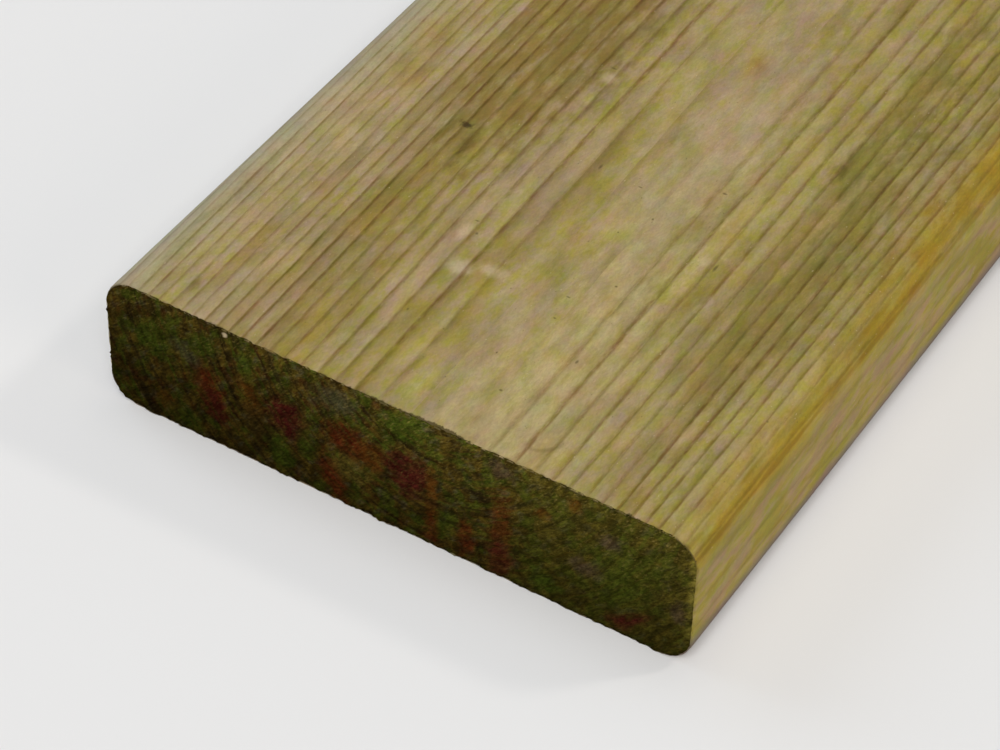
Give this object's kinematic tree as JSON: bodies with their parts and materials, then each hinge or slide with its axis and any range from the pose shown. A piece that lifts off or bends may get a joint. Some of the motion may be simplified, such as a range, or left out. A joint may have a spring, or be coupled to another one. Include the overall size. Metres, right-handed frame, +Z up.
{
  "type": "decking board",
  "caption": "Smooth softwood decking board, rectangular in section with rounded long corners and square-cut ends, screwed flat across joists as a walking surface.",
  "frame": {"origin": "middle of the underside, halfway along the board's length and width", "axes": "+X across the width, +Y along the grain, away from the sawn end that faces the camera, +Z up, out of the walking face"},
  "size_m": [0.12, 1.8, 0.029],
  "materials": {
    "treated_softwood": "planed and pressure treated, uncoated"
  },
  "bodies": {
    "root": {"board": "treated_softwood"}
  },
  "joints": []
}
